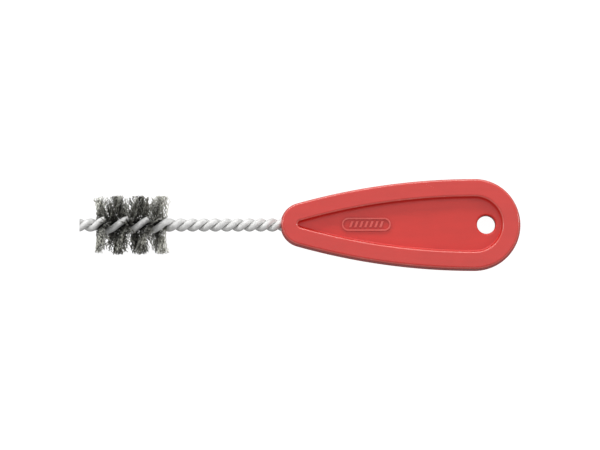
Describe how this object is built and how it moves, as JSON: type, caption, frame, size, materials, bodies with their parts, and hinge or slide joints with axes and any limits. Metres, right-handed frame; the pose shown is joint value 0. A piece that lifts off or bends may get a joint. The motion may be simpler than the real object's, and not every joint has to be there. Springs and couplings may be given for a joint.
{
  "type": "wire brush",
  "caption": "Hand-held twisted-wire brush for cleaning inside pipe fittings, with a short cylindrical bristle head and a flat teardrop handle with a hanging hole.",
  "frame": {"origin": "centre of the hanging hole, at half the handle's thickness", "axes": "+X along the stem's axis, from the brush towards the handle's round end; +Z along the hanging hole, out of the face that carries the blank badge; +Y to complete a right-handed frame"},
  "size_m": [0.1675, 0.035, 0.022],
  "materials": {
    "handle_plastic": "moulded red plastic, satin to glossy",
    "stem_steel": "pale galvanised drawn wire",
    "bristle_steel": "dull grey crimped steel wire"
  },
  "bodies": {
    "root": {"handle": "handle_plastic", "stem_wire": "stem_steel", "bristle_row_01": "bristle_steel", "bristle_row_02": "bristle_steel", "bristle_row_03": "bristle_steel", "bristle_row_04": "bristle_steel", "bristle_row_05": "bristle_steel", "bristle_row_06": "bristle_steel", "bristle_row_07": "bristle_steel", "bristle_row_08": "bristle_steel", "bristle_row_09": "bristle_steel", "bristle_row_10": "bristle_steel", "bristle_row_11": "bristle_steel", "bristle_row_12": "bristle_steel", "bristle_row_13": "bristle_steel", "bristle_row_14": "bristle_steel", "bristle_row_15": "bristle_steel", "bristle_row_16": "bristle_steel", "bristle_row_17": "bristle_steel", "bristle_row_18": "bristle_steel", "bristle_row_19": "bristle_steel", "bristle_row_20": "bristle_steel", "bristle_row_21": "bristle_steel", "bristle_row_22": "bristle_steel", "bristle_row_23": "bristle_steel", "bristle_row_24": "bristle_steel", "bristle_row_25": "bristle_steel"}
  },
  "joints": []
}
